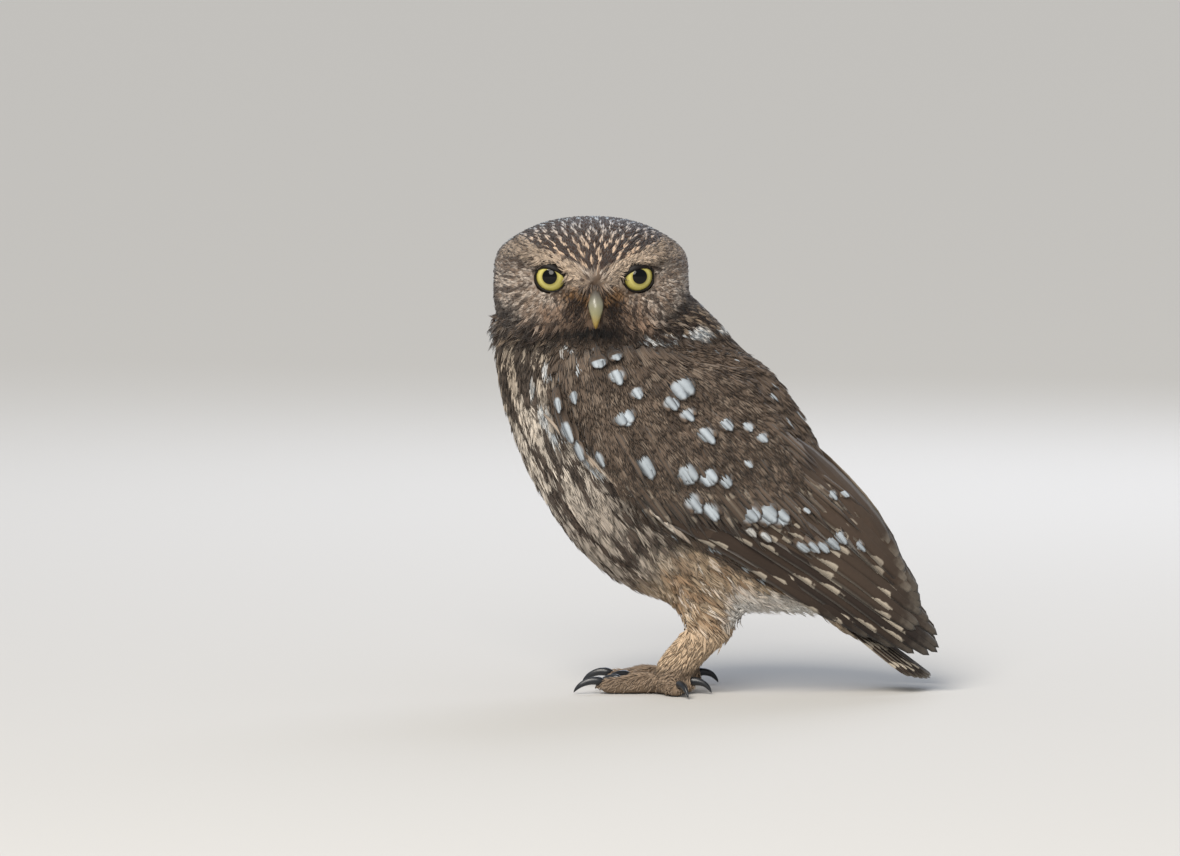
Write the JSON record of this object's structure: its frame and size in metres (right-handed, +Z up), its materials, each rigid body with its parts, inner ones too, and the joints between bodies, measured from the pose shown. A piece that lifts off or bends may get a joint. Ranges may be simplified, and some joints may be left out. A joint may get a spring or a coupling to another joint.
{
  "type": "little owl",
  "caption": "Still life-size little owl standing on feathered feet, body in profile, head turned to look sideways over its folded wing.",
  "frame": {"origin": "centre of the bounding box in X and Y, on the floor at the level of the soles", "axes": "+Z up; the body faces -X with the tail towards +X; the owl's left side and the turned face look towards -Y"},
  "size_m": [0.1628, 0.0854, 0.1715],
  "materials": {
    "head_plumage": "short soft feathers, dark brown with pale drops",
    "neck_plumage": "loose soft feathers, dark brown with pale streaks",
    "body_plumage": "long soft feathers, whitish buff with brown streaks",
    "wing_plumage": "smooth brown vanes with whitish spots and bars",
    "tail_plumage": "smooth brown vanes with pale bars",
    "leg_plumage": "short buff down",
    "toe_bristles": "grainy buff-brown skin with sparse bristles",
    "claw_horn": "glossy blackish horn",
    "bill_horn": "grey-green horn turning yellow at the tip",
    "eye": "wet lemon-yellow iris with a black pupil"
  },
  "bodies": {
    "root": {"head": "head_plumage", "neck": "neck_plumage", "torso": "body_plumage", "bill_upper": "bill_horn", "bill_lower": "bill_horn", "eye_right": "eye", "eye_left": "eye", "tail": "tail_plumage", "wing_left": "wing_plumage", "wing_right": "wing_plumage", "thigh_left": "leg_plumage", "shank_left": "leg_plumage", "toe_left_hind": "toe_bristles", "claw_left_hind": "claw_horn", "toe_left_inner": "toe_bristles", "claw_left_inner": "claw_horn", "toe_left_middle": "toe_bristles", "claw_left_middle": "claw_horn", "toe_left_outer": "toe_bristles", "claw_left_outer": "claw_horn", "thigh_right": "leg_plumage", "shank_right": "leg_plumage", "toe_right_hind": "toe_bristles", "claw_right_hind": "claw_horn", "toe_right_inner": "toe_bristles", "claw_right_inner": "claw_horn", "toe_right_middle": "toe_bristles", "claw_right_middle": "claw_horn", "toe_right_outer": "toe_bristles", "claw_right_outer": "claw_horn"}
  },
  "joints": []
}
